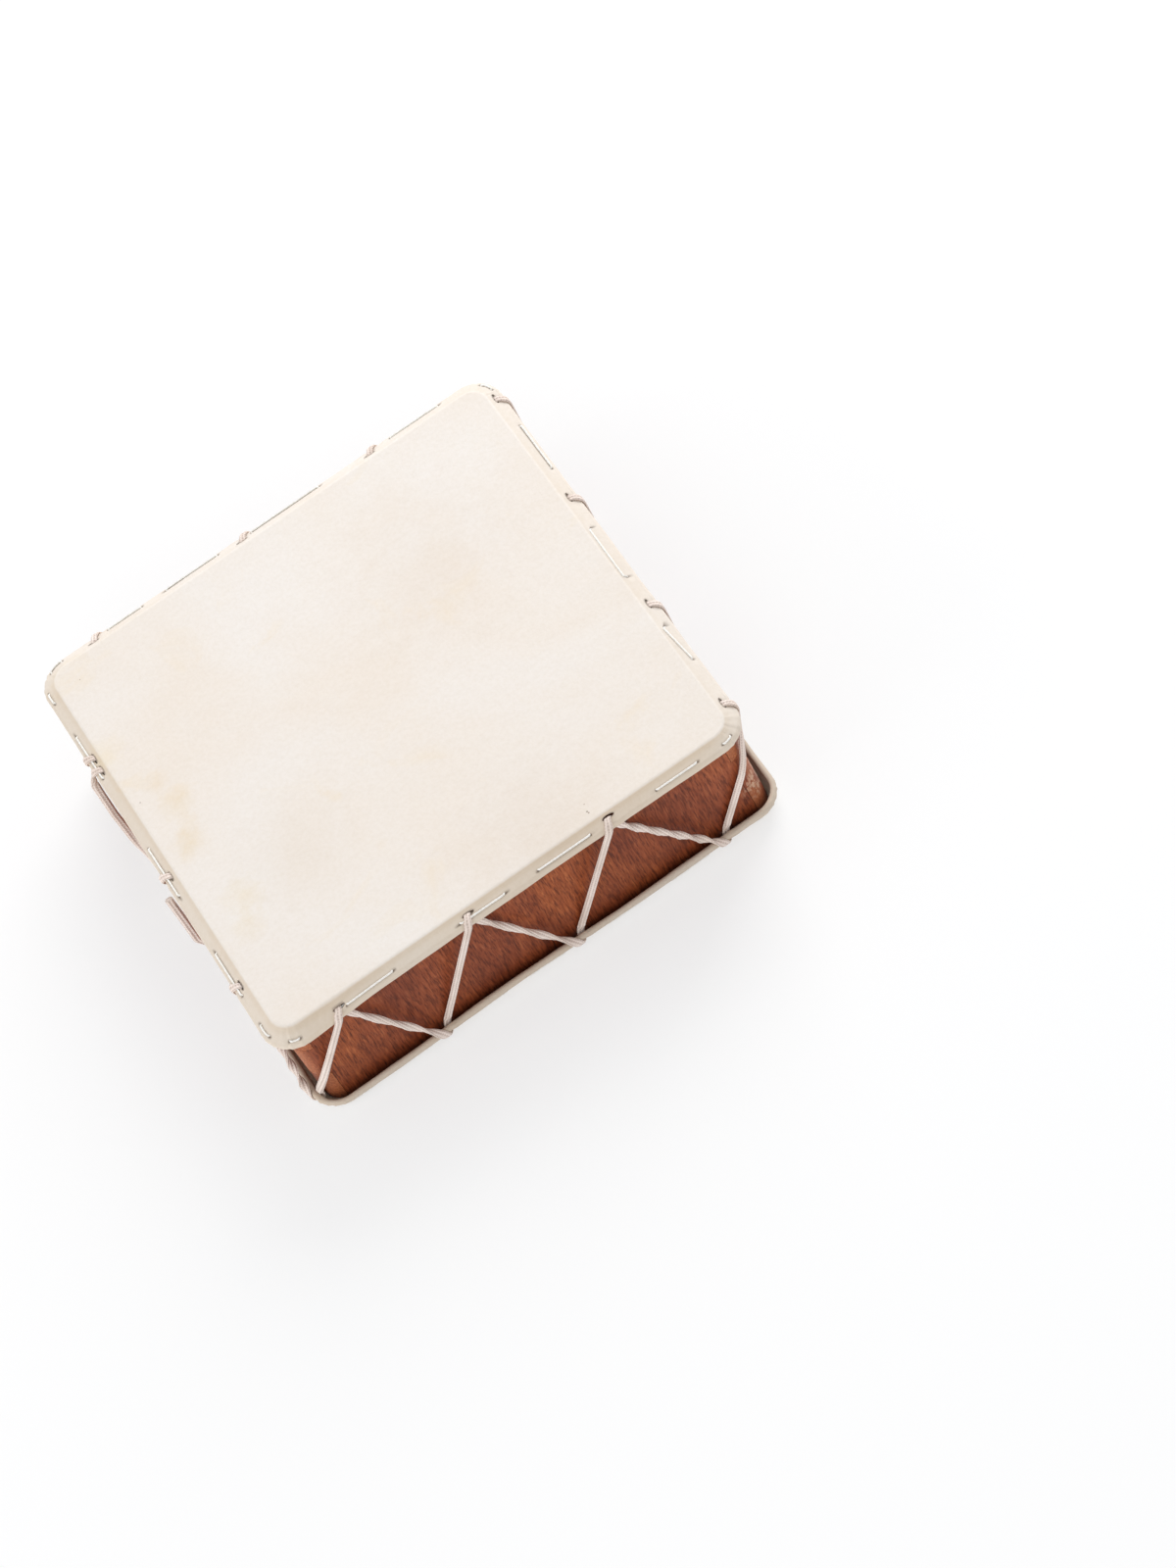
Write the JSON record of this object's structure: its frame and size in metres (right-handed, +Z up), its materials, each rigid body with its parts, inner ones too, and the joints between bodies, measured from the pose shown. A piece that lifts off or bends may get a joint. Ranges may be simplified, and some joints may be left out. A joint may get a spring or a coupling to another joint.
{
  "type": "double-sided hand drum",
  "caption": "Square hand drum with a rawhide head on each face, both laced together over a shallow box-jointed wooden shell by one zigzag cord.",
  "frame": {"origin": "middle of the lower head's outer face, on which the drum lies", "axes": "+Z up through the drum from the lower head to the upper head, +X and +Y along the sides of the square, -Y out of the front board"},
  "size_m": [0.2588, 0.2576, 0.071],
  "materials": {
    "wood": "reddish stained wood, satin",
    "hoop_rod": "drawn rod, hidden in the skin",
    "rawhide": "pale rawhide, matt with faint stains",
    "thread": "waxed thread",
    "cord": "braided cord, matt"
  },
  "bodies": {
    "root": {"front_board": "wood", "right_board": "wood", "rear_board": "wood", "left_board": "wood", "upper_hoop": "hoop_rod", "lower_hoop": "hoop_rod", "upper_head": "rawhide", "lower_head": "rawhide", "upper_stitching": "thread", "lower_stitching": "thread", "lacing_cord": "cord", "lacing_tie": "cord"}
  },
  "joints": []
}
